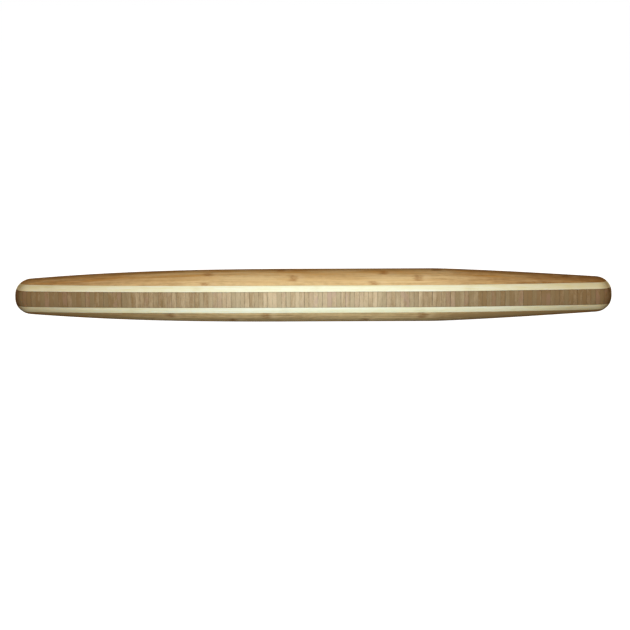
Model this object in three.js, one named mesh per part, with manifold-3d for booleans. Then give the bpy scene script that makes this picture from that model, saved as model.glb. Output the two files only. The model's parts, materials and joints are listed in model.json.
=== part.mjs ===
// A tapered rolling pin without handles, turned on a lathe from a glued bamboo blank.
// Millimetres, +Z up, X along the pin, -Y is the front.
// The origin lies on the table, under the middle of the pin.
import * as THREE from "three";
import { mergeVertices } from "three/addons/utils/BufferGeometryUtils.js";
import Module from "manifold-3d";

// The turned form
const PIN_LENGTH = 520;
const BELLY_DIAMETER = 46.4; // the straight middle
const BELLY_LENGTH = 120;
const BELLY_SHIFT = 45; // the straight middle lies this far towards the right end
const END_DIAMETER = 31.3; // where the rounding of an end begins
const DOME_LENGTH = 13; // the rounding, measured along the pin
const END_FLAT_DIAMETER = 7; // the small face sanded flat on each end
const LEFT_TAPER_POWER = 2.5; // a slow swell that bends most near the end
const RIGHT_TAPER_POWER = 1.24; // almost a cone

// The glued blank
const CORE_THICKNESS = 13.8;
const PALE_THICKNESS = 5.1;
const GLUE_LINE = 0.1;
const CORE_BLOCKS = 33; // each is four crosswise strips, joined
const PALE_STRIPS = 2; // flat strips, edge to edge
const FACE_STRIPS = 8; // lengthwise strips on edge
const SIDE_STRIP_SHARE = 0.5; // the strip at one side of a face is ripped to this share of a whole one

// How finely the round form is drawn
const SIDES = 32;
const LEFT_TAPER_STEPS = 14;
const RIGHT_TAPER_STEPS = 10;
const DOME_STEPS = 6;

// Worked out from the sizes above
const HALF_LENGTH = PIN_LENGTH / 2;
const BELLY_RADIUS = BELLY_DIAMETER / 2;
const END_RADIUS = END_DIAMETER / 2;
const FLAT_RADIUS = END_FLAT_DIAMETER / 2;
const DOME_START = HALF_LENGTH - DOME_LENGTH;
const BELLY_LEFT = BELLY_SHIFT - BELLY_LENGTH / 2;
const BELLY_RIGHT = BELLY_SHIFT + BELLY_LENGTH / 2;
const AXIS_HEIGHT = BELLY_RADIUS * Math.cos(Math.PI / SIDES); // the pin rests on one of its sides
const CORE_TOP = CORE_THICKNESS / 2; // heights in the blank are measured from the axis
const PALE_TOP = CORE_TOP + PALE_THICKNESS;

const caramel = new THREE.MeshStandardMaterial({ color: 0xbe9a68, roughness: 0.45, metalness: 0 });
const natural = new THREE.MeshStandardMaterial({ color: 0xeee6c6, roughness: 0.45, metalness: 0 });
const brown = new THREE.MeshStandardMaterial({ color: 0xa68d6b, roughness: 0.5, metalness: 0 });

const wasm = await Module();
wasm.setup();

// The radius that the two tapers give, before the ends are rounded.
function taperRadius(x) {
  const fall = BELLY_RADIUS - END_RADIUS;
  if (x < BELLY_LEFT) {
    return BELLY_RADIUS - fall * ((BELLY_LEFT - x) / (BELLY_LEFT + DOME_START)) ** LEFT_TAPER_POWER;
  }
  if (x > BELLY_RIGHT) {
    return BELLY_RADIUS - fall * ((x - BELLY_RIGHT) / (DOME_START - BELLY_RIGHT)) ** RIGHT_TAPER_POWER;
  }
  return BELLY_RADIUS;
}

// The radius of the finished pin: a quarter ellipse rounds each taper over to the end's flat.
function pinRadius(x) {
  const intoDome = Math.min(1, Math.max(0, Math.abs(x) - DOME_START) / DOME_LENGTH);
  const rounding = 1 - Math.sqrt(1 - intoDome ** 2);
  return taperRadius(x) - (taperRadius(x) - FLAT_RADIUS) * rounding;
}

// Evenly spread places from start to end, with the start and without the end.
function places(start, end, steps) {
  return Array.from({ length: steps }, (_, i) => start + ((end - start) * i) / steps);
}

// The places along the pin where its profile has a point, left to right.
function stations() {
  const dome = places(Math.PI / 2, 0, DOME_STEPS).map((turn) => DOME_START + DOME_LENGTH * Math.sin(turn));
  return [
    ...dome.map((x) => -x),
    ...places(-DOME_START, BELLY_LEFT, LEFT_TAPER_STEPS),
    BELLY_LEFT,
    ...places(BELLY_RIGHT, DOME_START, RIGHT_TAPER_STEPS),
    DOME_START,
    ...dome.reverse(),
  ];
}

function toSolid(geometry) {
  geometry.deleteAttribute("normal");
  geometry.deleteAttribute("uv");
  const merged = mergeVertices(geometry);
  const vertProperties = merged.getAttribute("position").array;
  return new wasm.Manifold(new wasm.Mesh({ numProp: 3, vertProperties, triVerts: merged.index.array }));
}

function toGeometry(solid) {
  const { vertProperties, triVerts } = solid.getMesh();
  const shared = new THREE.BufferGeometry();
  shared.setAttribute("position", new THREE.BufferAttribute(vertProperties, 3));
  shared.setIndex(new THREE.BufferAttribute(triVerts, 1));
  const flatSided = shared.toNonIndexed();
  flatSided.computeVertexNormals();
  return flatSided;
}

// The whole turned form about the X axis, with a flat side straight down.
function turnedForm() {
  const profile = stations().map((x) => new THREE.Vector2(pinRadius(x), x));
  profile.unshift(new THREE.Vector2(0, -HALF_LENGTH));
  profile.push(new THREE.Vector2(0, HALF_LENGTH));
  const halfSide = Math.PI / SIDES;
  return toSolid(new THREE.LatheGeometry(profile, SIDES, Math.PI + halfSide).rotateZ(-Math.PI / 2));
}

// One strip of the blank, as a box between three pairs of faces.
function stripOfBlank(x, y, z) {
  const [length, width, height] = [x, y, z].map(([low, high]) => high - low);
  const middle = [x, y, z].map(([low, high]) => (low + high) / 2);
  return toSolid(new THREE.BoxGeometry(length, width, height).translate(...middle));
}

// The strips that fill a width, as pairs of edges with half a glue line off each seam.
function stripsAcross(halfWidth, count, firstShare = 1) {
  const stripWidth = (2 * halfWidth) / (count - 1 + firstShare);
  const seams = Array.from({ length: count - 1 }, (_, i) => (firstShare + i) * stripWidth - halfWidth);
  const lows = [-halfWidth, ...seams.map((seam) => seam + GLUE_LINE / 2)];
  const highs = [...seams.map((seam) => seam - GLUE_LINE / 2), halfWidth];
  return lows.map((low, i) => [low, highs[i]]);
}

// Half the width of the widest cut through the pin at a height above or below its axis.
function halfWidthAt(height) {
  return Math.sqrt(BELLY_RADIUS ** 2 - height ** 2);
}

const turned = turnedForm();
const wholeLength = [-HALF_LENGTH, HALF_LENGTH];
const pin = new THREE.Group();
pin.position.z = AXIS_HEIGHT;

// What the lathe leaves of a strip is the part of it that lies inside the turned form.
function addPiece(name, material, x, y, z) {
  const piece = new THREE.Mesh(toGeometry(turned.intersect(stripOfBlank(x, y, z))), material);
  piece.name = name;
  pin.add(piece);
}

// A ply of lengthwise strips between two heights, numbered from the front.
function addPly(name, material, heights, strips) {
  strips.forEach((y, i) => addPiece(`${name}_${i + 1}`, material, wholeLength, y, heights));
}

// Heights of the plies above the axis, with half a glue line off each glued face.
const coreHeights = [-CORE_TOP + GLUE_LINE / 2, CORE_TOP - GLUE_LINE / 2];
const paleHeights = [CORE_TOP + GLUE_LINE / 2, PALE_TOP - GLUE_LINE / 2];
const faceHeights = [PALE_TOP + GLUE_LINE / 2, BELLY_RADIUS];
const mirrored = ([low, high]) => [-high, -low];

// The lower plies are the upper ones turned half a turn about the axis.
const paleStrips = stripsAcross(halfWidthAt(CORE_TOP), PALE_STRIPS);
const faceStrips = stripsAcross(halfWidthAt(PALE_TOP), FACE_STRIPS, SIDE_STRIP_SHARE);
addPly("upper_face_strip", caramel, faceHeights, faceStrips);
addPly("upper_pale_strip", natural, paleHeights, paleStrips);
addPly("lower_pale_strip", natural, mirrored(paleHeights), paleStrips.map(mirrored).reverse());
addPly("lower_face_strip", caramel, mirrored(faceHeights), faceStrips.map(mirrored).reverse());

// The crosswise strips of the core, in blocks numbered from the left end.
stripsAcross(HALF_LENGTH, CORE_BLOCKS).forEach((x, i) => {
  const number = String(i + 1).padStart(2, "0");
  addPiece(`core_block_${number}`, brown, x, [-BELLY_RADIUS, BELLY_RADIUS], coreHeights);
});

export default pin;
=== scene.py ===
# %% [markdown]
# # A tapered rolling pin of laminated bamboo
#
# This lesson dresses a rolling pin without handles. It is one turned form, cut on a lathe from a blank that
# was glued up in five layers: caramel strips at the top and the bottom, a pale ply under each of them, and a
# brown core whose short strips lie crosswise. The lathe cuts through all five layers, so on the finished pin
# they show as long bands that narrow and feather out towards the ends.
#
# The fixed frame has one plain solid for each strip, with flat sides. Here every one of them is replaced by
# a strip of the same size and place, turned smooth, with a bamboo finish of its own.

import json
import math
import random
from dataclasses import dataclass
from functools import reduce

import bmesh
import bpy
from mathutils import Matrix, Vector


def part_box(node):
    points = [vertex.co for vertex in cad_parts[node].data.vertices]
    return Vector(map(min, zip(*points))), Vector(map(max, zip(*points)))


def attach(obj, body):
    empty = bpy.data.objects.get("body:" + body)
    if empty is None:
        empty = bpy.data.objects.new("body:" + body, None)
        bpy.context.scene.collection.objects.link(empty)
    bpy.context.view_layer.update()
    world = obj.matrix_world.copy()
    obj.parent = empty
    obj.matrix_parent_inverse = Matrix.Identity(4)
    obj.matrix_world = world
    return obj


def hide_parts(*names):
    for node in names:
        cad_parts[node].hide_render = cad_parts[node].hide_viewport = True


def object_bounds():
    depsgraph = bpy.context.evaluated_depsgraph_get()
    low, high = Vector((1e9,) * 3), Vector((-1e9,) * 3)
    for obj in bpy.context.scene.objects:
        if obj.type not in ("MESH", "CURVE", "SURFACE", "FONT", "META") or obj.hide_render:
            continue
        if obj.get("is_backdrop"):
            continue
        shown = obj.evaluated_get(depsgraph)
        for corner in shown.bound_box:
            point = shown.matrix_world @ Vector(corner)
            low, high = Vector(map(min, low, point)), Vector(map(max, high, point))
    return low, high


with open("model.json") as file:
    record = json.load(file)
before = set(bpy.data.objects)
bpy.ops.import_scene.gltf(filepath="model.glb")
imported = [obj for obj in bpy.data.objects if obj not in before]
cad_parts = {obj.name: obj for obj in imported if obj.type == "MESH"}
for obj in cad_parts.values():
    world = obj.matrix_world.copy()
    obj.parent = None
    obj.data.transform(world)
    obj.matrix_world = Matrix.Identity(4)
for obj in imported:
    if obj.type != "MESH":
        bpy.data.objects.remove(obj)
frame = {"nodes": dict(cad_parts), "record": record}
cad_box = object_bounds()
HALF_LENGTH = cad_box[1].x
AXIS_HEIGHT = next(m["pos_m"][2] for m in frame["record"]["mounts"] if m["name"] == "left_end_flat")
print(f"{len(frame['nodes'])} strips, {2 * HALF_LENGTH:.3f} m long, axis {AXIS_HEIGHT * 1000:.2f} mm up")

# %% [markdown]
# ## The camera
#
# The photograph looks straight at the long side of the pin, from a little above the table. Two things in it
# give the angle. The bands lie lower than they would from the side, and their shift gives the height of the
# camera. The right end lies a few pixels higher than the left one, which is a small roll of the camera.
#
# A camera can be placed by hand or by a Track To constraint. Here its three axes are worked out and written
# into its matrix, because then the pin lands on the pixels where the photograph has it.

# %% Place the camera
PHOTO_WIDTH = 630  # pixels
PIN_PIXELS = 594.8  # the pin's length in the photograph
PIN_MIDDLE_PIXEL = (313.5, 295.05)  # where the middle of its axis lies
CAMERA_DISTANCE = 1.5
CAMERA_ELEVATION = math.radians(11.3)
CAMERA_ROLL = math.radians(0.245)

metres_per_pixel = 2 * HALF_LENGTH / PIN_PIXELS
pin_middle = Vector((0, 0, AXIS_HEIGHT))
camera_right = Vector((1, 0, 0))
camera_up = Vector((0, math.sin(CAMERA_ELEVATION), math.cos(CAMERA_ELEVATION)))
camera_back = camera_right.cross(camera_up)
right_of_pin, below_pin = (PHOTO_WIDTH / 2 - pixel for pixel in PIN_MIDDLE_PIXEL)
aim = pin_middle + (camera_right * right_of_pin - camera_up * below_pin) * metres_per_pixel

camera_data = bpy.data.cameras.new("photo_camera")
camera_data.lens = camera_data.sensor_width * CAMERA_DISTANCE / (PHOTO_WIDTH * metres_per_pixel)
camera = bpy.data.objects.new("photo_camera", camera_data)
camera_axes = Matrix((camera_right, camera_up, camera_back)).transposed().to_4x4()
camera_place = Matrix.Translation(aim + camera_back * CAMERA_DISTANCE)
camera.matrix_world = camera_place @ camera_axes @ Matrix.Rotation(-CAMERA_ROLL, 4, "Z")
bpy.context.scene.collection.objects.link(camera)
bpy.context.scene.camera = camera
print(f"camera {CAMERA_DISTANCE} m away with a {camera_data.lens:.1f} mm lens")

# %% [markdown]
# ## Writing node trees as formulas
#
# Geometry Nodes and materials are both made of nodes joined by links. Placing every Math node by hand makes
# a long script in which the rule is hard to see. The small class below stands for a number that flows
# through a tree. Adding or multiplying two of them places the Math node and links it, so that a rule can be
# written as it would be on paper.

# %% Helpers for node trees
SOCKET_KINDS = {float: "NodeSocketFloat", int: "NodeSocketInt", tuple: "NodeSocketVector"}


def feed(tree, socket, value):
    """Links what flows into a socket, or sets a plain value on it."""
    if isinstance(value, Flow):
        value = value.socket
    if isinstance(value, bpy.types.NodeSocket):
        tree.links.new(value, socket)
    else:
        socket.default_value = value


def shown(sockets, name):
    """The socket of that name which the node's settings leave in use."""
    return next(s for s in sockets if s.name == name and s.enabled)


def add_node(tree, kind, inputs=None, **settings):
    """A new node with its settings made and its inputs fed by name."""
    node = tree.nodes.new(kind)
    for name, value in settings.items():
        setattr(node, name, value)
    for name, value in (inputs or {}).items():
        feed(tree, shown(node.inputs, name), value)
    return node


class Flow:
    """A number that flows through a node tree. Sums, products and powers of it become Math nodes."""

    def __init__(self, tree, socket):
        self.tree = tree
        self.socket = socket

    def apply(self, operation, *others):
        return Flow(self.tree, math_node(self.tree, operation, self, *others))

    def __add__(self, other):
        return self.apply("ADD", other)

    def __sub__(self, other):
        return self.apply("SUBTRACT", other)

    def __mul__(self, other):
        return self.apply("MULTIPLY", other)

    def __truediv__(self, other):
        return self.apply("DIVIDE", other)

    def __pow__(self, other):
        return self.apply("POWER", other)

    def __rsub__(self, other):
        return Flow(self.tree, math_node(self.tree, "SUBTRACT", other, self))

    def __abs__(self):
        return self.apply("ABSOLUTE")

    __radd__ = __add__
    __rmul__ = __mul__

    def at_least(self, other):
        return self.apply("MAXIMUM", other)

    def at_most(self, other):
        return self.apply("MINIMUM", other)

    def within(self, low, high):
        return self.at_least(low).at_most(high)

    def spread(self, low, high):
        """Stretches 0 to 1 over low to high."""
        return self * (high - low) + low

    def root(self):
        return self.apply("SQRT")

    def ramp(self, start, end):
        """0 at start, 1 at end, smooth between them and level beyond them."""
        limits = {"Value": self, "From Min": start, "From Max": end}
        node = add_node(self.tree, "ShaderNodeMapRange", limits, interpolation_type="SMOOTHSTEP")
        return Flow(self.tree, node.outputs["Result"])


def math_node(tree, operation, *values, kind="ShaderNodeMath"):
    node = add_node(tree, kind, operation=operation)
    for socket, value in zip(node.inputs, values):
        feed(tree, socket, value)
    return node.outputs[0]


def split(tree, vector):
    """The three numbers of a vector."""
    node = add_node(tree, "ShaderNodeSeparateXYZ", {"Vector": vector})
    return [Flow(tree, socket) for socket in node.outputs]


def joined(tree, x, y, z):
    """A vector of three numbers."""
    return add_node(tree, "ShaderNodeCombineXYZ", {"X": x, "Y": y, "Z": z}).outputs[0]


def new_group(name, kind, inputs, outputs):
    """A node group with named sockets. Returns it with its inputs by name and its output node."""
    tree = bpy.data.node_groups.new(name, kind)
    for label, default in inputs.items():
        socket_kind = SOCKET_KINDS.get(type(default), default)
        socket = tree.interface.new_socket(label, in_out="INPUT", socket_type=socket_kind)
        if socket_kind != default:
            socket.default_value = default
    for label, socket_kind in outputs.items():
        tree.interface.new_socket(label, in_out="OUTPUT", socket_type=socket_kind)
    start = tree.nodes.new("NodeGroupInput")
    end = tree.nodes.new("NodeGroupOutput")
    flows = {label: Flow(tree, start.outputs[label]) for label in inputs}
    return tree, flows, end


def lay_out(tree, columns=12, spacing=(190, 320)):
    """Spreads the nodes over a sheet, in the order in which they were made."""
    for i, node in enumerate(tree.nodes):
        node.location = (i % columns * spacing[0], -(i // columns) * spacing[1])


print("helpers for node trees are ready")

# %% [markdown]
# ## The turned form
#
# A lathe makes a body whose section is a circle everywhere, so the whole form is one rule: the radius at
# each place along the axis. This pin has a straight middle that lies nearer to the right end, a slow swell
# on the left, an almost straight taper on the right, and a quarter of an ellipse that rounds each end over
# to a small flat.
#
# The rule could be drawn as a curve and spun with the Screw modifier, but then the strips would have to be
# cut apart with booleans, which leaves ragged faces. Here the rule is a node group that gives the radius for
# any place. Each strip starts as a box of clean quads, and the rule moves its points onto the round surface.
# It is written once, so that plain numbers and nodes can't come to differ.

# %% The rule of the lathe
DOME_LENGTH = 0.013  # the rounding of an end, measured along the pin
LATHE = {
    "Belly Radius": AXIS_HEIGHT,  # the pin lies on its thickest part
    "Belly Left": -0.015,  # the straight middle runs from here
    "Belly Right": 0.105,  # to here
    "Left Power": 2.5,  # a slow swell that bends most near the end
    "Right Power": 1.24,  # almost a cone
    "End Radius": 0.01558,  # where the rounding of an end begins
    "Dome Start": HALF_LENGTH - DOME_LENGTH,
    "Dome Length": DOME_LENGTH,
    "Flat Radius": 0.0035,  # the small face on each tip
}


def turned_radius(size, at_least, root):
    """The rule itself, for plain numbers or for numbers that flow through nodes."""
    x = size["Place"]
    left_run = at_least(size["Belly Left"] - x, 0.0) / (size["Belly Left"] + size["Dome Start"])
    right_run = at_least(x - size["Belly Right"], 0.0) / (size["Dome Start"] - size["Belly Right"])
    runs = left_run ** size["Left Power"] + right_run ** size["Right Power"]
    taper = size["Belly Radius"] - (size["Belly Radius"] - size["End Radius"]) * runs
    into_dome = at_least(abs(x) - size["Dome Start"], 0.0) / size["Dome Length"]
    rounded = root(at_least(1.0 - into_dome * into_dome, 0.0))
    return size["Flat Radius"] + (taper - size["Flat Radius"]) * rounded


def pin_radius(x):
    """The radius at a place along the pin, for finding where a strip runs out."""
    return turned_radius({**LATHE, "Place": x}, max, math.sqrt)


def turned_radius_group():
    """The rule as nodes, with its sizes as named inputs."""
    sizes = {"Place": 0.0, **LATHE}
    tree, size, end = new_group("Turned Radius", "GeometryNodeTree", sizes, {"Radius": "NodeSocketFloat"})
    feed(tree, end.inputs["Radius"], turned_radius(size, Flow.at_least, Flow.root))
    lay_out(tree)
    return tree


RADIUS_GROUP = turned_radius_group()
middle_radius, end_radius = (pin_radius(x) * 1000 for x in (0, LATHE["Dome Start"]))
print(f"radius {middle_radius:.1f} mm in the middle, {end_radius:.1f} mm at the ends")

# %% [markdown]
# ## Three rules for three kinds of strip
#
# All strips are boxes in the blank, and the lathe leaves of each what lies inside the round form. What
# that is depends on how the strip lies:
#
# - A core strip spans the pin from front to back. Its height is fixed, and its front and back follow the
#   circle.
# - A pale strip lies flat above the core, from the middle to the front or the back.
# - A face strip stands on the pale ply and has the circle as its top. Where the taper comes down to the
#   ply, the strip runs out in a thin tongue.
#
# The three trees below share their last steps: points that fall together at a tip are merged, edges sharper
# than a set angle stay sharp, the rest is smooth, and the finish is set. Each tree also stores numbers on
# the mesh that the finishes read later: how far across the strip a point lies, and the strip's own tone,
# seed and the like. A half turn about the axis makes a lower strip from an upper one.

# %% Steps that the three trees share
SHARP_ANGLE = math.radians(35)
MERGE_DISTANCE = 3e-7  # metres
GEOMETRY_OUT = {"Geometry": "NodeSocketGeometry"}


def radius_at(tree, x):
    node = add_node(tree, "GeometryNodeGroup", node_tree=RADIUS_GROUP)
    feed(tree, node.inputs["Place"], x)
    return Flow(tree, node.outputs["Radius"])


def half_chord(radius, height):
    """Half the width of a circle at a height above its middle."""
    return (radius * radius - height * height).at_least(0.0).root()


def after(tree, kind, geometry, inputs=None, **settings):
    """The geometry after one more node."""
    return add_node(tree, kind, {"Geometry": geometry, **(inputs or {})}, **settings).outputs[0]


def store(tree, geometry, name, value, domain="POINT", kind="FLOAT"):
    inputs = {"Name": name, "Value": value}
    return after(tree, "GeometryNodeStoreNamedAttribute", geometry, inputs, domain=domain, data_type=kind)


def moved(tree, geometry, x, y, z):
    """Sets the points at x, y, z, measured from the pin's axis, and lifts them to the axis."""
    place = joined(tree, x, y, z + AXIS_HEIGHT)
    return after(tree, "GeometryNodeSetPosition", geometry, {"Position": place})


def finished(tree, end, geometry, material):
    """Merges, smooths, realizes and sets the finish, and feeds the tree's output."""
    geometry = after(tree, "GeometryNodeMergeByDistance", geometry, {"Distance": MERGE_DISTANCE})
    geometry = after(tree, "GeometryNodeSetShadeSmooth", geometry)
    angle = add_node(tree, "GeometryNodeInputMeshEdgeAngle").outputs["Unsigned Angle"]
    angles = {"A": angle, "B": SHARP_ANGLE}
    smooth = add_node(tree, "FunctionNodeCompare", angles, operation="LESS_THAN").outputs["Result"]
    geometry = after(tree, "GeometryNodeSetShadeSmooth", geometry, {"Shade Smooth": smooth}, domain="EDGE")
    geometry = after(tree, "GeometryNodeRealizeInstances", geometry)
    geometry = after(tree, "GeometryNodeSetMaterial", geometry, {"Material": material})
    feed(tree, end.inputs["Geometry"], geometry)
    lay_out(tree)


def box_grid(tree, size, steps_x, steps_y, steps_z):
    """A box of quads about the origin, and the coordinates of its points."""
    counts = {"Vertices X": steps_x + 1, "Vertices Y": steps_y + 1, "Vertices Z": steps_z + 1}
    grid = add_node(tree, "GeometryNodeMeshCube", {"Size": size, **counts}).outputs["Mesh"]
    return grid, split(tree, add_node(tree, "GeometryNodeInputPosition").outputs[0])


def spread_along(x, left, right):
    """Places from tip to tip, for x from -1 to 1. They crowd at both tips, where a strip narrows fast."""
    return (left + right) * 0.5 + (right - left) * 0.5 * (x * (math.pi / 2)).apply("SINE")


print(f"edges over {math.degrees(SHARP_ANGLE):.0f} degrees stay sharp")

# %% The tree for a block of core strips
STRIPS_PER_BLOCK = 4
CORE_SEAM = 0.00004  # the glue line between two strips of a block
PLAIN_STEPS = {"Steps Along": 2, "Steps Up": 6}


def core_block_tree():
    inputs = {
        "Left": 0.0,
        "Right": 0.0,
        "Half Height": 0.0,
        "Strips": STRIPS_PER_BLOCK,
        "First Strip": 0,
        **PLAIN_STEPS,
        "Seed": 0,
        "Material": "NodeSocketMaterial",
    }
    tree, given, end = new_group("Core Block", "GeometryNodeTree", inputs, GEOMETRY_OUT)
    width = (given["Right"] - given["Left"]) / given["Strips"]
    grid, (x, y, z) = box_grid(tree, (1, 2, 2), given["Steps Along"], 1, given["Steps Up"])
    grid = store(tree, grid, "across", x * 2)
    grid = store(tree, grid, "up", z)

    line_inputs = {
        "Count": given["Strips"],
        "Start Location": joined(tree, given["Left"] + width * 0.5, 0.0, 0.0),
        "Offset": joined(tree, width, 0.0, 0.0),
    }
    line = add_node(tree, "GeometryNodeMeshLine", line_inputs).outputs["Mesh"]
    scale = joined(tree, width - CORE_SEAM, 1.0, 1.0)
    copies = {"Points": line, "Instance": grid, "Scale": scale}
    strips = add_node(tree, "GeometryNodeInstanceOnPoints", copies).outputs["Instances"]
    number = Flow(tree, add_node(tree, "GeometryNodeInputIndex").outputs[0]) + given["First Strip"]
    for i, name in enumerate(("tone", "tint", "seam", "seed")):
        draw = {"ID": number, "Seed": given["Seed"] + i}
        drawn = shown(add_node(tree, "FunctionNodeRandomValue", draw).outputs, "Value")
        strips = store(tree, strips, name, drawn, domain="INSTANCE")
    strips = after(tree, "GeometryNodeRealizeInstances", strips)

    radius = radius_at(tree, x)
    height = z * given["Half Height"].at_most(radius)
    strips = moved(tree, strips, x, y * half_chord(radius, height), height)
    finished(tree, end, strips, given["Material"])
    return tree


CORE_TREE = core_block_tree()
print(f"core tree: {len(CORE_TREE.nodes)} nodes")

# %% The tree for a pale strip
KNUCKLE_SIDES = ("Left Knuckles", "Right Knuckles")
STRIP_INPUTS = {
    "Left Tip": 0.0,
    "Right Tip": 0.0,
    "Half Turn": 1.0,
    "Steps Along": 150,
    "Tone": 0.5,
    "Warmth": 0.5,
    "Seed": 0.0,
    **dict.fromkeys(KNUCKLE_SIDES, (0.0, 0.0, 0.0)),
    "Material": "NodeSocketMaterial",
}


def stored_name(label):
    return label.lower().replace(" ", "_")


def store_strip_facts(tree, strip, given, across):
    """The numbers that the finish of a lengthwise strip reads."""
    strip = store(tree, strip, "across", across)
    for name in ("Tone", "Warmth", "Seed"):
        strip = store(tree, strip, stored_name(name), given[name])
    for name in KNUCKLE_SIDES:
        strip = store(tree, strip, stored_name(name), given[name], kind="FLOAT_VECTOR")
    return strip


def pale_strip_tree():
    inputs = {"Low Height": 0.0, "High Height": 0.0, "Front Share": 0.0, "Back Share": 0.0, "Steps Up": 6}
    tree, given, end = new_group("Pale Strip", "GeometryNodeTree", {**inputs, **STRIP_INPUTS}, GEOMETRY_OUT)
    strip, (x, y, z) = box_grid(tree, (2, 1, 1), given["Steps Along"], 1, given["Steps Up"])
    strip = store_strip_facts(tree, strip, given, z * 2)
    place = spread_along(x, given["Left Tip"], given["Right Tip"])
    radius = radius_at(tree, place)
    top = given["High Height"].at_most(radius)
    height = (z + 0.5).spread(given["Low Height"], top)
    share = (y + 0.5).spread(given["Front Share"], given["Back Share"])
    depth = share * half_chord(radius, height)
    strip = moved(tree, strip, place, depth * given["Half Turn"], height * given["Half Turn"])
    finished(tree, end, strip, given["Material"])
    return tree


PALE_TREE = pale_strip_tree()
print(f"pale tree: {len(PALE_TREE.nodes)} nodes")

# %% The tree for a face strip


def face_strip_tree():
    inputs = {"Base Height": 0.0, "Front Edge": 0.0, "Back Edge": 0.0, "Steps Across": 6}
    tree, given, end = new_group("Face Strip", "GeometryNodeTree", {**inputs, **STRIP_INPUTS}, GEOMETRY_OUT)
    strip, (x, y, z) = box_grid(tree, (2, 1, 1), given["Steps Along"], given["Steps Across"], 1)
    strip = store_strip_facts(tree, strip, given, y * 2)
    place = spread_along(x, given["Left Tip"], given["Right Tip"])
    radius = radius_at(tree, place)
    reach = half_chord(radius, given["Base Height"])
    front, back = (given[edge].within(reach * -1, reach) for edge in ("Front Edge", "Back Edge"))
    depth = (y + 0.5).spread(front, back)
    height = (z + 0.5).spread(given["Base Height"], half_chord(radius, depth))
    strip = moved(tree, strip, place, depth * given["Half Turn"], height * given["Half Turn"])
    finished(tree, end, strip, given["Material"])
    return tree


FACE_TREE = face_strip_tree()
print(f"face tree: {len(FACE_TREE.nodes)} nodes")

# %% [markdown]
# ## What bamboo looks like
#
# Bamboo has no rings. Dark fibre bundles run through a paler ground, all along the stem: cut lengthwise they
# are fine streaks, and cut across they are dots. A texture painted on the surface could show one or the
# other. A solid texture that is stretched along the fibres shows both by itself, and where the taper cuts
# slowly through it, it gives the long tongues of figure that turned bamboo has.
#
# Four effects are used more than once, so each is a node group: the fibres, the knuckle marks that cross a
# strip where the stem had a joint, the thin glue line at the edges of a strip, and a measure of how far a
# place lies towards the ends of the pin.

# %% The fibre group
FIBRE_NOISES = {  # waves per metre along and across the fibres, detail, and the noise that becomes 0 and 1
    "Streak": ((9.0, 420.0, 420.0), 2.5, (0.3, 0.7)),
    "Fleck": ((170.0, 430.0, 430.0), 2.0, (0.3, 0.7)),
    "Hair": ((26.0, 1500.0, 1500.0), 1.0, (0.3, 0.7)),
    "Warmth": ((16.0, 210.0, 210.0), 1.5, (0.35, 0.65)),
}
BUNDLE_STRETCH = (6.0, 1150.0, 1150.0)
BUNDLE_EDGE = 0.42  # how far from its middle a bundle fades out, as a share of its cell
BUNDLE_HEART = 0.16  # how far from its middle it is fully dark
SEED_STEP = (7.3, 3.1, 5.7)  # metres that a seed of 1 shifts the pattern


def vector_math(tree, operation, *values):
    return math_node(tree, operation, *values, kind="ShaderNodeVectorMath")


def noise(tree, vector, stretch, detail):
    inputs = {"Vector": vector_math(tree, "MULTIPLY", vector, stretch), "Scale": 1.0, "Detail": detail}
    return Flow(tree, add_node(tree, "ShaderNodeTexNoise", inputs).outputs["Fac"])


def fibre_group():
    """Fibres along the X of the vector: streaks are long, flecks short, hairs fine and bundles dark."""
    inputs = {"Vector": "NodeSocketVector", "Seed": 0.0}
    outputs = dict.fromkeys((*FIBRE_NOISES, "Bundle"), "NodeSocketFloat")
    tree, given, end = new_group("Bamboo Fibres", "ShaderNodeTree", inputs, outputs)
    # The seed moves a strip to another part of the pattern, so that two strips never match
    place = vector_math(tree, "MULTIPLY_ADD", given["Seed"], SEED_STEP, given["Vector"])
    for name, (stretch, detail, levels) in FIBRE_NOISES.items():
        feed(tree, end.inputs[name], noise(tree, place, stretch, detail).ramp(*levels))
    cell_inputs = {"Vector": vector_math(tree, "MULTIPLY", place, BUNDLE_STRETCH), "Scale": 1.0}
    distance = Flow(tree, add_node(tree, "ShaderNodeTexVoronoi", cell_inputs).outputs["Distance"])
    feed(tree, end.inputs["Bundle"], distance.ramp(BUNDLE_EDGE, BUNDLE_HEART))
    lay_out(tree)
    return tree


FIBRES = fibre_group()
print("fibre group ready:", ", ".join(FIBRE_NOISES), "and Bundle")

# %% The knuckle group
KNUCKLE_REACH = 0.0066  # half the length of a mark along the strip
KNUCKLE_HEART = 0.0006  # how far from its middle a mark is fully dark
KNUCKLE_BEND = 0.0009  # how far a mark trails at the edges of its strip
RIDGE_OFFSET = 0.0065  # the pale ridge lies this far to the right of the mark
RAGGED_STRETCH = (60.0, 700.0, 700.0)
RAGGED_DETAIL = 2.0
RAGGED_REACH = 0.0095  # how far the fibres pull a mark about
DASH_STRETCH = (330.0, 1100.0, 1100.0)
DASH_DETAIL = 1.0
DASH_LEVELS = (0.38, 0.6)
DASH_SHARE = 0.5  # how much of a mark comes in dashes


def nearest_place(x, places):
    """How far x lies from the nearest of the places."""
    return reduce(Flow.at_most, [abs(x - place) for place in places])


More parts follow.
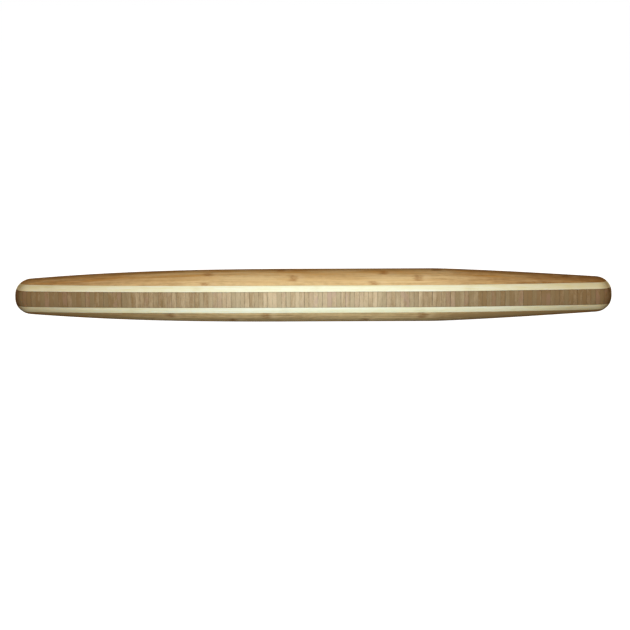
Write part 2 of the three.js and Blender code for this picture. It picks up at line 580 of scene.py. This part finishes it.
def knuckle_group():
    """Marks where the stem's joints cross a strip, from two vectors that hold three places each."""
    inputs = {"Across": 0.0, **dict.fromkeys(("Vector", *KNUCKLE_SIDES), "NodeSocketVector")}
    outputs = dict.fromkeys(("Mark", "Ridge"), "NodeSocketFloat")
    tree, given, end = new_group("Knuckle Marks", "ShaderNodeTree", inputs, outputs)
    places = [place for side in KNUCKLE_SIDES for place in split(tree, given[side])]
    along = split(tree, given["Vector"])[0]
    ragged = noise(tree, given["Vector"], RAGGED_STRETCH, RAGGED_DETAIL) - 0.5
    bent = along + ragged * RAGGED_REACH + given["Across"] * given["Across"] * KNUCKLE_BEND
    dashes = noise(tree, given["Vector"], DASH_STRETCH, DASH_DETAIL).ramp(*DASH_LEVELS)
    mark = nearest_place(bent, places).ramp(KNUCKLE_REACH, KNUCKLE_HEART)
    ridge = nearest_place(bent - RIDGE_OFFSET, places).ramp(KNUCKLE_REACH, 0.0)
    feed(tree, end.inputs["Mark"], mark * dashes.spread(1 - DASH_SHARE, 1.0))
    feed(tree, end.inputs["Ridge"], ridge)
    lay_out(tree)
    return tree


KNUCKLES = knuckle_group()
print(f"knuckle group ready: marks up to {2000 * KNUCKLE_REACH:.0f} mm long")

# %% The glue line group


def glue_line_group():
    """A thin line along both edges of a strip. Across runs from -1 to 1, and Width is a share of that."""
    inputs = {"Across": 0.0, "Width": 0.06}
    tree, given, end = new_group("Glue Line", "ShaderNodeTree", inputs, {"Line": "NodeSocketFloat"})
    feed(tree, end.inputs["Line"], abs(given["Across"]).ramp(1.0 - given["Width"], 1.0))
    lay_out(tree)
    return tree


GLUE_LINE = glue_line_group()
print("glue line group ready")

# %% The group for the ends


def ends_group():
    """How far a place lies towards the left and the right end of the pin, from 0 at Start to 1 at Full."""
    inputs = {"Vector": "NodeSocketVector", "Start": 0.03, "Full": 0.2}
    outputs = dict.fromkeys(("Left", "Right"), "NodeSocketFloat")
    tree, given, end = new_group("Towards The Ends", "ShaderNodeTree", inputs, outputs)
    along = split(tree, given["Vector"])[0]
    feed(tree, end.inputs["Left"], (along * -1).ramp(given["Start"], given["Full"]))
    feed(tree, end.inputs["Right"], along.ramp(given["Start"], given["Full"]))
    lay_out(tree)
    return tree


ENDS = ends_group()
print("group for the ends ready")

# %% [markdown]
# ## The lengthwise finishes
#
# The caramel bamboo was steamed, which browns it all through. The natural bamboo was left pale, and its
# fibres hardly show. Each finish is one Principled BSDF, fed by the groups above.
#
# A single ramp from light to dark could colour a strip. But real strips differ in two ways: some are deeper
# and some are warmer. So every strip has two numbers. Its tone, with the grain added, says how deep the
# colour is, and its warmth says how orange it is where it is light. All strips get darker and browner
# towards the ends of the pin, as painted shade for the light that falls off along it. Knuckles and glue are
# stains that multiply the colour, so the grain shows through them. The underside of the tips is darkened the
# same way, as painted shade.
#
# The photograph shows matt wood without a glint, so the specular level is zero. The roughness is fed all
# the same: raising the level oils the pin, with a gloss that is duller on open fibres and knuckles.

# %% Helpers for the finishes
SPECULAR_LEVEL = 0.0
RELIEF_DEPTH = 0.00003  # metres, the depth of a glue line
RELIEF_STRENGTH = 0.6
HAIR_RELIEF = 0.4  # how far a hair stands up, as a share of that depth
BUNDLE_RELIEF = 0.6  # how far a bundle lies open
BUNDLE_ROUGHNESS = 0.1  # how much duller an open bundle is


def new_finish(name):
    material = bpy.data.materials.new(name)
    material.use_nodes = True
    return material, material.node_tree, material.node_tree.nodes["Principled BSDF"]


def fact(tree, name, output="Fac"):
    """A number or vector that Geometry Nodes stored on the mesh."""
    socket = add_node(tree, "ShaderNodeAttribute", attribute_name=name).outputs[output]
    return Flow(tree, socket) if output == "Fac" else socket


def use_group(tree, group, inputs):
    """The outputs of a shader group, by name."""
    node = add_node(tree, "ShaderNodeGroup", node_tree=group)
    for name, value in inputs.items():
        feed(tree, node.inputs[name], value)
    return {socket.name: Flow(tree, socket) for socket in node.outputs}


def blend(tree, share, first, second, how="MIX"):
    """Goes from the first colour to the second, or stains it with that, as the share goes from 0 to 1."""
    inputs = {"Factor": share, "A": first, "B": second}
    node = add_node(tree, "ShaderNodeMix", inputs, data_type="RGBA", blend_type=how)
    return shown(node.outputs, "Result")


def object_place(tree):
    return add_node(tree, "ShaderNodeTexCoord").outputs["Object"]


def set_surface(tree, shader, colour, roughness, height):
    """The colour, dullness and relief of bare wood."""
    feed(tree, shader.inputs["Base Color"], colour)
    feed(tree, shader.inputs["Roughness"], roughness)
    shader.inputs["Specular IOR Level"].default_value = SPECULAR_LEVEL
    relief = {"Height": height, "Distance": RELIEF_DEPTH, "Strength": RELIEF_STRENGTH}
    feed(tree, shader.inputs["Normal"], add_node(tree, "ShaderNodeBump", relief).outputs["Normal"])
    lay_out(tree)


print("helpers for the finishes are ready")

# %% What tells one lengthwise finish from another


@dataclass
class StripLook:
    """The colours and strengths of a finish for strips along the pin."""

    light: tuple
    warm: tuple  # where the strip is light and warm
    deep: tuple
    cool_deep: tuple  # where a strip of little warmth is deep
    # The stain colour of knuckles and glue, and also the colour of the painted shade under the tips
    stain_and_shade: tuple
    ridge: tuple
    contrast: float  # of the grain
    mark_strength: float
    # Painted shade: how much darker and browner a strip gets towards the left and the right end, for the
    # light that falls off along the pin
    end_shade_left: float
    end_shade_right: float
    warm_skin: float = 0.0  # how much warmer the side is that lay under the stem's skin
    painted_under_shade: float = 0.0  # how strongly the underside is darkened at the tips, as painted shade


caramel_look = StripLook(
    light=(0.86, 0.64, 0.33, 1),
    warm=(0.68, 0.37, 0.11, 1),
    deep=(0.38, 0.2, 0.07, 1),
    cool_deep=(0.37, 0.24, 0.104, 1),
    stain_and_shade=(0.46, 0.27, 0.16, 1),
    ridge=(0.8, 0.6, 0.34, 1),
    contrast=0.5,
    mark_strength=0.58,
    end_shade_left=0.47,
    end_shade_right=0.76,
)
NATURAL_DEEP = (0.84, 0.78, 0.44, 1)  # all pale strips are as warm, so one depth serves them
natural_look = StripLook(
    light=(0.96, 0.97, 0.83, 1),
    warm=(0.88, 0.84, 0.54, 1),
    deep=NATURAL_DEEP,
    cool_deep=NATURAL_DEEP,
    stain_and_shade=(0.6, 0.5, 0.35, 1),
    ridge=(0.86, 0.82, 0.66, 1),
    contrast=0.5,
    mark_strength=0.15,
    end_shade_left=0.1,
    end_shade_right=0.2,
    warm_skin=0.3,
    painted_under_shade=0.45,
)
print("knuckles at", caramel_look.mark_strength, "on caramel and", natural_look.mark_strength, "on natural")

# %% The colour of a lengthwise strip
GRAIN_SHARES = {"Streak": 0.75, "Fleck": 0.4, "Hair": 0.45, "Bundle": 0.35}  # how strongly each shows
# Where the painted shade at the ends begins and where it is full
PAINTED_END_SHADE = {"Start": 0.05, "Full": 0.25}  # metres from the middle of the pin
PATCHY_WARMTH = 0.7  # the share of a strip's warmth that comes in patches
SKIN_SIDE = (-0.2, 1.0)  # the part across a strip that lay under the stem's skin
COOL_STRIPS = (0.1, 0.25)  # the depth goes from cool to plain between these warmths


def strip_depth(tree, place, fibres, look):
    """From 0 to 1, by the strip's own tone, its grain, and painted shade that deepens it towards the ends of
    the pin.
    """
    grain = fibres["Bundle"] * GRAIN_SHARES["Bundle"]
    for kind in ("Streak", "Fleck", "Hair"):
        grain = grain + (fibres[kind] - 0.5) * GRAIN_SHARES[kind]
    ends = use_group(tree, ENDS, {"Vector": place, **PAINTED_END_SHADE})
    end_shade = ends["Left"] * look.end_shade_left + ends["Right"] * look.end_shade_right
    return (fact(tree, "tone") + grain * look.contrast + end_shade).within(0.0, 1.0)


def strip_colour(tree, place, across, fibres, look):
    """Light to deep, and warm or cool by the strip's own warmth."""
    strip_warmth = fact(tree, "warmth")
    patches = fibres["Warmth"].spread(1 - PATCHY_WARMTH, 1.0)
    warmth = strip_warmth * patches + across.ramp(*SKIN_SIDE) * look.warm_skin
    light_tone = blend(tree, warmth, look.light, look.warm)
    deep_tone = blend(tree, strip_warmth.ramp(*COOL_STRIPS), look.cool_deep, look.deep)
    return blend(tree, strip_depth(tree, place, fibres, look), light_tone, deep_tone)


# The painted shade at the ends is full this far from the middle
print(f"strips are brownest {PAINTED_END_SHADE['Full']} m from the middle")

# %% The stains and the painted shade on a lengthwise strip
# Painted shade: the underside darkens towards both tips, where little light reaches it from below
TIPS = {"Start": 0.17, "Full": 0.25}  # metres from the middle of the pin
UNDERSIDE = (0.005, 0.009)  # metres below the axis
RIDGE_SHARE = 0.4  # how strong a knuckle's ridge is beside its mark
STRIP_GLUE_STRENGTH = 0.15


def stained_and_shaded(tree, colour, place, knuckles, glue, look):
    """The colour with painted shade under the tips, and the stains of the knuckles and the glue lines."""
    tips = use_group(tree, ENDS, {"Vector": place, **TIPS})
    underside = (AXIS_HEIGHT - split(tree, place)[2]).ramp(*UNDERSIDE)
    under_shade = underside * (tips["Left"] + tips["Right"]) * look.painted_under_shade
    colour = blend(tree, under_shade, colour, look.stain_and_shade, "MULTIPLY")
    colour = blend(tree, knuckles["Ridge"] * (look.mark_strength * RIDGE_SHARE), colour, look.ridge)
    colour = blend(tree, knuckles["Mark"] * look.mark_strength, colour, look.stain_and_shade, "MULTIPLY")
    return blend(tree, glue * STRIP_GLUE_STRENGTH, colour, look.stain_and_shade, "MULTIPLY")


print(f"soil begins {TIPS['Start']} m from the middle")

# %% Caramel and natural bamboo
STRIP_GLUE_WIDTH = 0.07  # a share of half the strip
STRIP_ROUGHNESS = 0.46
MARK_ROUGHNESS = 0.12  # how much duller a knuckle is


def lengthwise_finish(name, look):
    """A strip whose fibres run along the pin."""
    material, tree, shader = new_finish(name)
    place = object_place(tree)
    across = fact(tree, "across")
    fibres = use_group(tree, FIBRES, {"Vector": place, "Seed": fact(tree, "seed")})
    knuckle_facts = {side: fact(tree, stored_name(side), "Vector") for side in KNUCKLE_SIDES}
    knuckles = use_group(tree, KNUCKLES, {"Vector": place, "Across": across, **knuckle_facts})
    glue = use_group(tree, GLUE_LINE, {"Across": across, "Width": STRIP_GLUE_WIDTH})["Line"]
    colour = strip_colour(tree, place, across, fibres, look)
    colour = stained_and_shaded(tree, colour, place, knuckles, glue, look)
    roughness = STRIP_ROUGHNESS + fibres["Bundle"] * BUNDLE_ROUGHNESS + knuckles["Mark"] * MARK_ROUGHNESS
    height = fibres["Hair"] * HAIR_RELIEF - fibres["Bundle"] * BUNDLE_RELIEF - glue
    set_surface(tree, shader, colour, roughness, height)
    return material


CARAMEL = lengthwise_finish("caramel bamboo", caramel_look)
NATURAL = lengthwise_finish("natural bamboo", natural_look)
print("lengthwise finishes:", CARAMEL.name, "and", NATURAL.name)

# %% [markdown]
# ## The finish of the core
#
# On the pin the core shows the ends of its strips, so there the fibres are dots. Every strip was sawn from
# another place, so it has a tone and a tint of its own, drawn when it was made, and neighbours from one stem
# are a little alike. The fibres run from front to back, so the fibre group gets the axes in another order. A
# second use of the group gives the upright streaks on a strip's end.
#
# The tints, pinkish or greyish, could be mixed in before the painted shade that darkens the ends. But then
# they would fade at the ends, where the photograph still shows them. So the ends have a pair of tints of
# their own, darker, with that painted shade in them.

# %% The ground colour of the core
CORE_TAN = (0.61, 0.475, 0.3, 1)
CORE_BROWN = (0.285, 0.19, 0.09, 1)
CORE_DEPTH = 0.02  # how brown the palest strip is in the middle of the pin
# How much each fact of a strip adds to its depth
CORE_SHARES = {"tone": 0.4, "batch": 0.15, "skin": 0.25, "streak": 0.35, "hair": 0.15, "dots": 0.2}
MEAN_DOTS = 0.4  # about how much of a strip's end the dots cover
BATCH_STRETCH = (45.0, 0.0, 0.0)  # neighbouring strips come from one stem and are alike
BATCH_DETAIL = 1.0
BATCH_LEVELS = (0.3, 0.7)


def core_ground(tree, place, across, seam, fibres, upright, end_shade):
    """Tan to brown, by the strip's own tone, its batch and grain, and the painted shade at the ends."""
    parts = {
        "tone": fact(tree, "tone"),
        "batch": noise(tree, place, BATCH_STRETCH, BATCH_DETAIL).ramp(*BATCH_LEVELS),
        "skin": across * (seam - 0.5),
        "streak": upright["Streak"] - 0.5,
        "hair": upright["Hair"] - 0.5,
        "dots": fibres["Bundle"] - MEAN_DOTS,
    }
    depth = CORE_DEPTH + end_shade
    for part, value in parts.items():
        depth = depth + value * CORE_SHARES[part]
    return blend(tree, depth.within(0.0, 1.0), CORE_TAN, CORE_BROWN)


print("the core's ground colour depends on", ", ".join(CORE_SHARES))

# %% The tints of the core
# Each tint is a colour and how strongly it shows
MIDDLE_TINTS = {"pink": ((0.5, 0.36, 0.26, 1), 0.8), "grey": ((0.45, 0.37, 0.235, 1), 0.45)}
# The tints for the ends are darker copies, with the painted shade of the ends in them
END_TINTS = {"pink": ((0.33, 0.202, 0.122, 1), 0.9), "grey": ((0.287, 0.215, 0.112, 1), 0.8)}
PINK_DRAWS = (0.55, 0.95)  # a strip goes from plain to pink between these draws
GREY_DRAWS = (0.4, 0.05)  # and from plain to grey between these
TINT_FADING = 0.85  # how much of the middle's tints the painted shade at the ends takes away


def tinted(tree, colour, tint, patches, end_shade):
    """The colour with a pair of tints for the middle of the pin and a darker pair, with painted shade in it,
    for its ends.
    """
    shares = {"pink": tint.ramp(*PINK_DRAWS) * patches, "grey": tint.ramp(*GREY_DRAWS)}
    for tints, reach in ((MIDDLE_TINTS, 1.0 - end_shade * TINT_FADING), (END_TINTS, end_shade)):
        for hue, (tint_colour, strength) in tints.items():
            colour = blend(tree, shares[hue] * reach * strength, colour, tint_colour)
    return colour


print(f"draws over {PINK_DRAWS[0]} are pinkish, and under {GREY_DRAWS[0]} greyish")

# %% The seams of the core
SEAM_COLOUR = (0.16, 0.115, 0.06, 1)
SEAM_DARKNESS = (0.15, 0.75)  # of the strips with the faintest and the darkest seams
SEAM_HAIRS = (0.4, 1.3)  # how much of that shows between the hairs and on them
SEAM_FADING = 0.5  # how much of a seam the painted shade at the ends takes away
SEAM_MOST = 0.9
SEAM_WIDTH = 0.3  # a share of half the strip
PLY_GLUE_WIDTH = 0.14  # a share of half the core's height
PLY_GLUE_STRENGTH = 0.3


def seamed(tree, colour, seam_line, seam, hair, end_shade):
    """The colour with the seams between strips and the glue against the pale plies."""
    seam_depth = seam.spread(*SEAM_DARKNESS) * hair.spread(*SEAM_HAIRS) * (1.0 - end_shade * SEAM_FADING)
    colour = blend(tree, (seam_line * seam_depth).at_most(SEAM_MOST), colour, SEAM_COLOUR)
    ply_glue = use_group(tree, GLUE_LINE, {"Across": fact(tree, "up"), "Width": PLY_GLUE_WIDTH})["Line"]
    return blend(tree, ply_glue * PLY_GLUE_STRENGTH, colour, SEAM_COLOUR)


print(f"seams are at most {SEAM_MOST} dark")

# %% Crosswise bamboo of the core
UPRIGHT_CHANGE = 9.0  # the streaks change this much faster up a strip's end than along fibres
# Painted shade: the core gets darker and browner towards the ends, for the light that falls off along the
# pin
CORE_PAINTED_END_SHADE = {"Start": 0.02, "Full": 0.2}  # metres from the middle of the pin
CORE_END_SHADE_LEFT = 0.72
CORE_END_SHADE_RIGHT = 0.8
CORE_ROUGHNESS = 0.5


def crosswise_finish(name):
    """A strip whose fibres run from front to back, so that its ends show on the pin."""
    material, tree, shader = new_finish(name)
    place = object_place(tree)
    x, y, z = split(tree, place)
    across = fact(tree, "across")
    seam = fact(tree, "seam")
    fibres = use_group(tree, FIBRES, {"Vector": joined(tree, y, x, z), "Seed": fact(tree, "seed")})
    upright = use_group(tree, FIBRES, {"Vector": joined(tree, z * UPRIGHT_CHANGE, x, y), "Seed": seam})
    seam_line = use_group(tree, GLUE_LINE, {"Across": across, "Width": SEAM_WIDTH})["Line"]
    ends = use_group(tree, ENDS, {"Vector": place, **CORE_PAINTED_END_SHADE})
    end_shade = ends["Left"] * CORE_END_SHADE_LEFT + ends["Right"] * CORE_END_SHADE_RIGHT
    colour = core_ground(tree, place, across, seam, fibres, upright, end_shade)
    colour = tinted(tree, colour, fact(tree, "tint"), upright["Warmth"], end_shade)
    colour = seamed(tree, colour, seam_line, seam, upright["Hair"], end_shade)
    roughness = CORE_ROUGHNESS + fibres["Bundle"] * BUNDLE_ROUGHNESS
    set_surface(tree, shader, colour, roughness, fibres["Bundle"] * -BUNDLE_RELIEF - seam_line)
    return material


CORE = crosswise_finish("core bamboo")
print("crosswise finish:", CORE.name)

# %% [markdown]
# ## Turning the strips
#
# Each strip takes its limits from the box of the solid that it replaces. A lengthwise strip also needs the
# two places where the lathe runs it out: there the radius of the pin has shrunk to the distance of the
# strip's nearest edge from the axis, and a few halvings find that place.
#
# The modifier is only the way to the mesh. When it has been evaluated, the result becomes a plain mesh of
# the piece itself and the modifier goes.

# %% Make one piece from a tree
HALVINGS = 60  # until the place is exact


def nodes_of(kind):
    return sorted(name for name in frame["nodes"] if kind in name)


def set_inputs(modifier, tree, values):
    """Sets a modifier's inputs. They are stored under the identifiers of the tree's sockets."""
    sockets = {item.name: item.identifier for item in tree.interface.items_tree if item.in_out == "INPUT"}
    for name, value in values.items():
        modifier[sockets[name]] = value


def turn_piece(node_name, tree, values):
    """The finished piece that stands for a node of the frame."""
    piece = bpy.data.objects.new(f"turned_{node_name}", bpy.data.meshes.new("blank"))
    bpy.context.scene.collection.objects.link(piece)
    modifier = piece.modifiers.new("turning", "NODES")
    modifier.node_group = tree
    set_inputs(modifier, tree, values)
    graph = bpy.context.evaluated_depsgraph_get()
    mesh = bpy.data.meshes.new_from_object(piece.evaluated_get(graph), depsgraph=graph)
    mesh.name = piece.name
    blank = piece.data
    piece.modifiers.clear()
    piece.data = mesh
    bpy.data.meshes.remove(blank)
    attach(piece, "root")
    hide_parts(node_name)
    return piece


def faults(piece):
    """How many edges are open, and whether the faces point inwards."""
    shape = bmesh.new()
    shape.from_mesh(piece.data)
    open_edges = sum(not edge.is_manifold for edge in shape.edges)
    inside_out = shape.calc_volume(signed=True) <= 0
    shape.free()
    return open_edges + inside_out


def report(title, pieces):
    triangles = sum(len(polygon.vertices) - 2 for piece in pieces for polygon in piece.data.polygons)
    print(f"{title}: {len(pieces)} pieces, {triangles} triangles, {sum(map(faults, pieces))} faults")


def run_out(radius, side):
    """The place, left (-1) or right (1), where the pin has become as thin as this radius."""
    inner = LATHE["Belly Right"] if side > 0 else LATHE["Belly Left"]
    outer = side * HALF_LENGTH
    for _ in range(HALVINGS):
        middle = (inner + outer) / 2
        if pin_radius(middle) > radius:
            inner = middle
        else:
            outer = middle
    return inner


print("ready to turn")

# %% Turn the core
CORE_SEED = 11
CORE_NODES = nodes_of("core_block")
DOME_STEPS = {"Steps Along": 16, "Steps Up": 16}

core_pieces = []
for i, name in enumerate(CORE_NODES):
    low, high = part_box(name)
    at_an_end = i in (0, len(CORE_NODES) - 1)
    limits = {"Left": low.x, "Right": high.x, "Half Height": (high.z - low.z) / 2}
    numbers = {"First Strip": i * STRIPS_PER_BLOCK, "Seed": CORE_SEED, "Material": CORE}
    steps = DOME_STEPS if at_an_end else PLAIN_STEPS
    core_pieces.append(turn_piece(name, CORE_TREE, {**limits, **numbers, **steps}))
report("core", core_pieces)

# %% [markdown]
# ## Where the knuckles lie
#
# A bamboo stem has a joint every hand's breadth or so, and each strip that was sawn from it keeps a brown
# knuckle mark there. On the strips that face the camera the marks are placed where the photograph has them,
# measured along the pin from its middle. The other strips get theirs at steady steps with a little chance,
# from a fixed seed, so that every run gives the same pin.

# %% Places of the knuckles
KNUCKLE_SEED = 5
KNUCKLE_STEP = 0.125
KNUCKLE_CHANCE = 0.02  # how far chance moves a mark from its step
HIDDEN_KNUCKLES = 4  # how many a strip gets that the photograph doesn't show
KNUCKLE_PLACES = 6  # how many a tree takes
OFF_THE_PIN = 1.0  # a place for a mark that a strip doesn't have
SEEN_KNUCKLES = {
    "upper_face_strip_1": (-0.094, 0.052),
    "upper_face_strip_2": (-0.017, 0.091),
    "upper_face_strip_3": (-0.091, 0.061),
    "upper_face_strip_4": (-0.028, 0.107, 0.220),
    "lower_face_strip_1": (-0.205, -0.124, -0.041, 0.095),
    "lower_face_strip_2": (-0.070, 0.044),
}
chance = random.Random(KNUCKLE_SEED)


def knuckle_inputs(name):
    """Six places as two vectors, padded with places off the pin."""
    start = -HALF_LENGTH + chance.random() * KNUCKLE_STEP
    steps = [
        start + i * KNUCKLE_STEP + chance.uniform(-1, 1) * KNUCKLE_CHANCE for i in range(HIDDEN_KNUCKLES)
    ]
    places = list(SEEN_KNUCKLES.get(name, steps))
    places += [OFF_THE_PIN] * (KNUCKLE_PLACES - len(places))
    half = KNUCKLE_PLACES // 2
    return dict(zip(KNUCKLE_SIDES, (places[:half], places[half:])))


print(f"{len(SEEN_KNUCKLES)} strips have their knuckles placed by the photograph")

# %% Turn the pale plies
MIDDLE_SHARE = 0.001  # leaves a glue line where the two strips of a ply meet
PALE_TONE = 0.3
PALE_WARMTH = 0.4


def lengthwise_inputs(name, nearest, tone, warmth, finish):
    """The inputs that face strips and pale strips share. nearest is the radius at which the strip ends."""
    return {
        "Left Tip": run_out(nearest, -1),
        "Right Tip": run_out(nearest, 1),
        "Half Turn": 1.0 if name.startswith("upper") else -1.0,
        "Tone": tone,
        "Warmth": warmth,
        "Seed": chance.random(),
        "Material": finish,
        **knuckle_inputs(name),
    }


def seen_from_above(name):
    """A node's box about the axis, with a lower strip given half a turn to lie like an upper one."""
    low, high = (corner - pin_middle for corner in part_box(name))
    if name.startswith("upper"):
        return low, high
    return Vector((low.x, -high.y, -high.z)), Vector((high.x, -low.y, -low.z))


pale_pieces = []
for name in nodes_of("pale_strip"):
    low, high = seen_from_above(name)
    at_front = low.y + high.y < 0
    front_share, back_share = (-1.0, -MIDDLE_SHARE) if at_front else (MIDDLE_SHARE, 1.0)
    values = lengthwise_inputs(name, low.z, PALE_TONE, PALE_WARMTH, NATURAL)
    values.update({"Low Height": low.z, "High Height": high.z})
    values.update({"Front Share": front_share, "Back Share": back_share})
    pale_pieces.append(turn_piece(name, PALE_TREE, values))
report("pale plies", pale_pieces)

# %% Turn the faces
# The two lower strips get little warmth as painted light: it stands in for the cooler light that reaches the
# underside
SEEN_FACES = {  # tone and warmth of the strips that face the camera
    "upper_face_strip_1": (0.1, 0.25),
    "upper_face_strip_2": (0.06, 0.4),
    "upper_face_strip_3": (0.0, 0.95),
    "upper_face_strip_4": (0.05, 1.0),
    "lower_face_strip_1": (0.62, 0.1),
    "lower_face_strip_2": (0.72, 0.1),
}
HIDDEN_TONES = (0.3, 0.65)
HIDDEN_WARMTH = 0.45

face_pieces = []
for name in nodes_of("face_strip"):
    low, high = seen_from_above(name)
    nearest_edge = 0.0 if low.y < 0 < high.y else min(abs(low.y), abs(high.y))
    tone, warmth = SEEN_FACES.get(name, (chance.uniform(*HIDDEN_TONES), HIDDEN_WARMTH))
    values = lengthwise_inputs(name, math.hypot(low.z, nearest_edge), tone, warmth, CARAMEL)
    values.update({"Base Height": low.z, "Front Edge": low.y, "Back Edge": high.y})
    face_pieces.append(turn_piece(name, FACE_TREE, values))
report("faces", face_pieces)

# %% [markdown]
# ## The table and the light
#
# The photograph was lit from the camera's side: the pin is brightest in the middle, falls off to both
# ends, and is dark along its upper and lower edge. A big lamp far away would light all of it alike. A
# small, cool flash close in front gives all three, and a warm room light at the camera's height fills in
# the ends and the upper side. A weak ceiling light reaches the crest, two low lights show the far side to
# whoever looks from there, and a dim, warm surround fills the shadows.
#
# The background is white paper. Lighting paper until it is white would burn out the pale plies, so the table
# and the surround glow only where the camera or a reflection sees them. The table is also lit as any
# surface is, and so it keeps the soft shadow under the pin. It throws hardly any light back on the pin,
# whose lower edge is dark in the photograph.

# %% The white table
FILL_COLOUR = (1.0, 0.9, 0.8, 1)
FILL_STRENGTH = 0.06
PAPER_SHADE = 0.8  # the share of the light that the camera sees come back from the paper
PAPER_BOUNCE = (0.03, 0.035, 0.04)  # the share that it throws on the pin
PAPER_WHITE = 1.005  # what the camera sees of the paper where the fill alone lights it
PAPER_ROUGHNESS = 0.9
PAPER_GLOSS = 0.0
TABLE_REACH = 15.0


def seen_directly(tree):
    """1 for rays from the camera or from a reflection or a glass, and 0 for light that scatters."""
    path = add_node(tree, "ShaderNodeLightPath").outputs
    rays = [Flow(tree, path[f"Is {kind} Ray"]) for kind in ("Camera", "Glossy", "Transmission")]
    return reduce(Flow.at_least, rays)


def paper_finish():
    material, tree, shader = new_finish("white paper")
    seen = seen_directly(tree)
    shade = blend(tree, seen, (*PAPER_BOUNCE, 1), (PAPER_SHADE, PAPER_SHADE, PAPER_SHADE, 1))
    feed(tree, shader.inputs["Base Color"], shade)
    shader.inputs["Roughness"].default_value = PAPER_ROUGHNESS
    shader.inputs["Specular IOR Level"].default_value = PAPER_GLOSS
    glow = [PAPER_WHITE - PAPER_SHADE * FILL_STRENGTH * channel for channel in FILL_COLOUR[:3]]
    shader.inputs["Emission Color"].default_value = (*glow, 1)
    feed(tree, shader.inputs["Emission Strength"], seen)
    return material


table_height = min((piece.matrix_world @ v.co).z for piece in face_pieces for v in piece.data.vertices)
sides = ((-1, -1), (1, -1), (1, 1), (-1, 1))
corners = [(x * TABLE_REACH, y * TABLE_REACH, table_height) for x, y in sides]
table_mesh = bpy.data.meshes.new("table")
table_mesh.from_pydata(corners, [], [range(len(corners))])
table_mesh.materials.append(paper_finish())
table = bpy.data.objects.new("table", table_mesh)
bpy.context.scene.collection.objects.link(table)
table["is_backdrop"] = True
print(f"table at {table_height * 1000:.3f} mm")

# %% The lights
LIGHTS = {  # colour, level, distance, azimuth and elevation in degrees, width and height
    "flash": ((0.64, 0.84, 1.0), 1.08, 0.38, 0, 2, (0.1, 0.04)),
    "room light": ((1.0, 0.6, 0.24), 0.44, 1.5, 0, 12, (0.5, 0.5)),
    "ceiling light": ((1.0, 0.85, 0.6), 0.06, 1.5, 0, 90, (0.8, 0.5)),
    "left back light": ((1.0, 0.93, 0.85), 0.7, 1.0, -135, 4, (0.3, 0.03)),
    "right back light": ((1.0, 0.93, 0.85), 0.7, 1.0, 135, 4, (0.3, 0.03)),
}


def add_light(name, colour, level, distance, azimuth, elevation, size):
    """A soft rectangle of light that looks at the middle of the pin. Azimuth 0 is the camera's side.

    At a level of 1, a surface that faces the light shows its colour as it is written.
    """
    data = bpy.data.lights.new(name, "AREA")
    data.shape = "RECTANGLE"
    data.size, data.size_y = size
    data.color = colour
    data.energy = level * (math.pi * (distance - LATHE["Belly Radius"])) ** 2
    light = bpy.data.objects.new(name, data)
    turn, lift = math.radians(azimuth), math.radians(elevation)
    away = Vector((math.sin(turn) * math.cos(lift), -math.cos(turn) * math.cos(lift), math.sin(lift)))
    light.location = pin_middle + away * distance
    light.rotation_euler = (-away).to_track_quat("-Z", "Y").to_euler()
    light.visible_camera = False
    bpy.context.scene.collection.objects.link(light)


for name, settings in LIGHTS.items():
    add_light(name, *settings)
print("lights:", ", ".join(LIGHTS))

# %% The white surround
PAPER_SKY = (1, 1, 1, 1)

world = bpy.data.worlds.new("surround")
world.use_nodes = True
sky = world.node_tree
fill = sky.nodes["Background"]
fill.inputs["Color"].default_value = FILL_COLOUR
fill.inputs["Strength"].default_value = FILL_STRENGTH
paper = add_node(sky, "ShaderNodeBackground", {"Color": PAPER_SKY, "Strength": 1.0})
mix = add_node(sky, "ShaderNodeMixShader", {"Fac": seen_directly(sky)})
sky.links.new(fill.outputs[0], mix.inputs[1])
sky.links.new(paper.outputs[0], mix.inputs[2])
sky.links.new(mix.outputs[0], sky.nodes["World Output"].inputs["Surface"])
bpy.context.scene.world = world
bpy.context.scene.view_settings.view_transform = "Standard"
print(f"surround fills at {FILL_STRENGTH}, and the camera sees it white")

# %% [markdown]
# ## The size of the pin
#
# The visual pin has to stay the size of the frame. Both boxes are printed, so that they can be compared.

# %% Print the boxes
visual_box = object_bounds()
boxes = {"cad": [list(corner) for corner in cad_box], "visual": [list(corner) for corner in visual_box]}
for name, (low, high) in boxes.items():
    print(name, "box in mm:", [round((b - a) * 1000, 2) for a, b in zip(low, high)])
